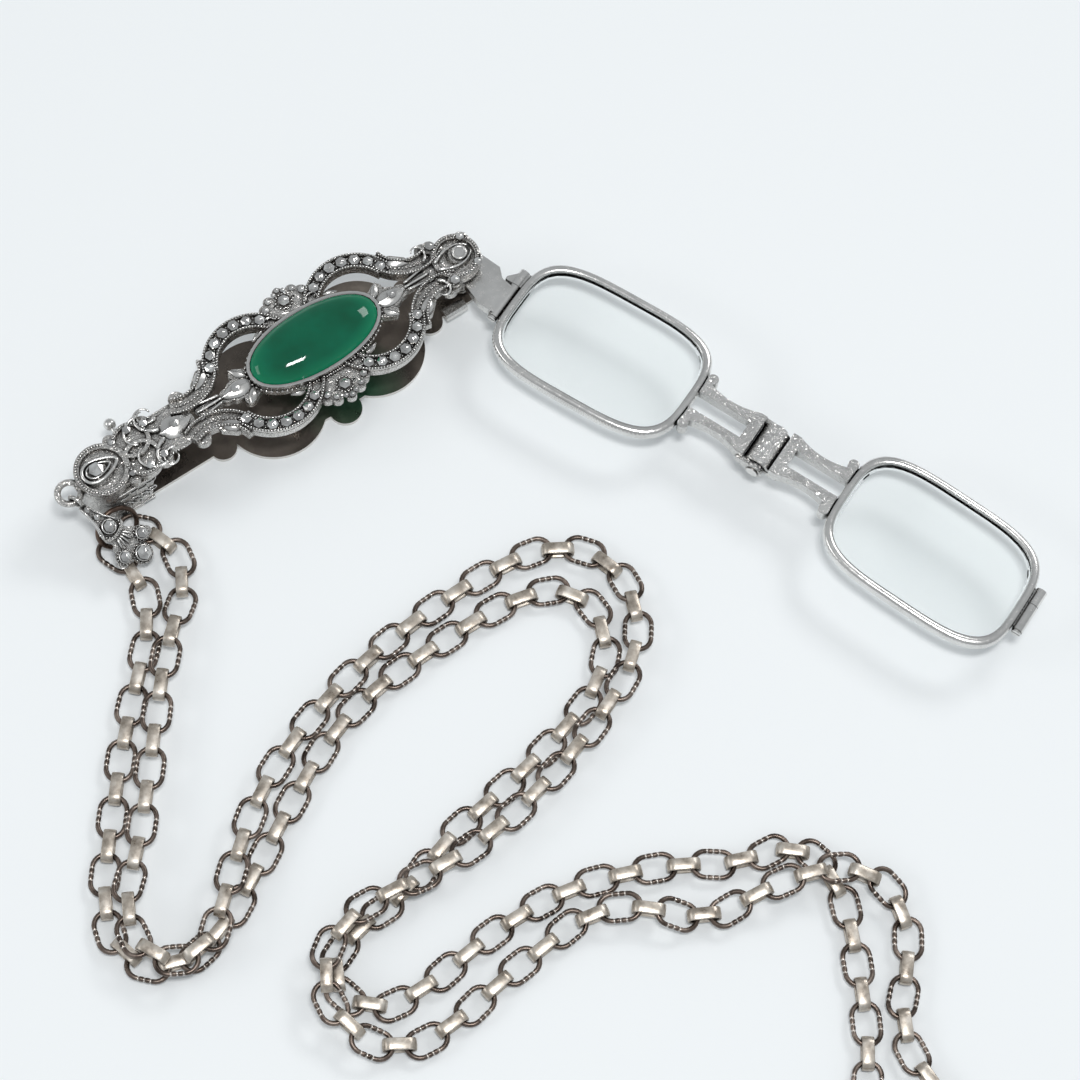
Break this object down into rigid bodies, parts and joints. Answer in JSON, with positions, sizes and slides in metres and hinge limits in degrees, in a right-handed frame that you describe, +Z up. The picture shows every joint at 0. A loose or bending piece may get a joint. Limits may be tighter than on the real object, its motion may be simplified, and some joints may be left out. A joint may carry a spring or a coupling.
{
  "type": "folding lorgnette",
  "caption": "Jewelled case with two lenses that swing and unfold from it on a sprung bridge, and a long neck chain on a swinging bail.",
  "frame": {"origin": "foot of the lens pivot, where the back plate rests on the table", "axes": "+X along the case from the ring end to the pivot end, +Z up from the back plate to the jewelled front"},
  "size_m": [0.1687, 0.1904, 0.0156],
  "materials": {
    "silver": "cast and engraved bright metal with dark patina in the recesses",
    "dark_back": "oxidised dark brown inside, worn",
    "green_stone": "polished translucent green cabochon",
    "cut_stone": "small faceted dark metallic stones",
    "spring_wire": "spring wire",
    "lens_glass": "clear polished lens",
    "dark_wire": "blackened wire with bright cut nicks",
    "dull_band": "dull tarnished plated strip"
  },
  "bodies": {
    "case": {"back_plate": "dark_back", "front_cover": "silver", "gem_setting": "silver", "cabochon": "green_stone", "cover_stones": "cut_stone", "pivot_pin": "silver", "pivot_spring": "spring_wire", "stop_block": "silver", "catch_guide": "silver", "catch_spring": "spring_wire", "chain_ring": "dark_wire", "chain_long_1": "dark_wire", "chain_long_2": "dark_wire", "chain_long_3": "dark_wire", "chain_long_4": "dark_wire", "chain_long_5": "dark_wire", "chain_long_6": "dark_wire", "chain_band_1": "dull_band", "chain_band_2": "dull_band", "chain_band_3": "dull_band", "chain_band_4": "dull_band"},
    "first_lens": {"pivot_bracket": "silver", "closing_lug": "silver", "closing_screw_1": "silver", "lens_rim_1": "silver", "lens_1": "lens_glass", "bridge_arm_1": "silver", "hinge_pin": "silver", "hinge_spring": "spring_wire", "spring_cover": "silver"},
    "second_lens": {"bridge_arm_2": "silver", "lens_rim_2": "silver", "lens_2": "lens_glass", "closing_tubes_2": "silver", "closing_screw_2": "silver"},
    "catch": {"catch_button": "silver"},
    "bail": {"bail": "silver", "bail_stones": "cut_stone"}
  },
  "joints": [
    {"name": "lens_pivot", "type": "hinge", "parent": "case", "child": "first_lens", "pos_m": [0, 0, 0.0078], "axis": [0, 0, 1], "range_deg": [-97, 0], "stiffness_Nm_per_rad": 0.002, "springref_deg": 34.38, "deforming": ["pivot_spring"]},
    {"name": "bridge_fold", "type": "hinge", "parent": "first_lens", "child": "second_lens", "pos_m": [0.02356, -0.05951, 0.006], "axis": [0.9298, 0.3681, 0], "range_deg": [0, 180], "stiffness_Nm_per_rad": 0.005, "springref_deg": -85.94, "deforming": ["hinge_spring"]},
    {"name": "catch_press", "type": "slide", "parent": "case", "child": "catch", "axis": [0, -1, 0], "range_m": [0, 0.001], "stiffness_N_per_m": 150, "springref_m": -0.002, "deforming": ["catch_spring"]},
    {"name": "bail_swing", "type": "hinge", "parent": "case", "child": "bail", "pos_m": [-0.08033, -0.00199, 0.0103], "axis": [-0.9063, -0.4226, 0], "range_deg": [0, 5]}
  ]
}
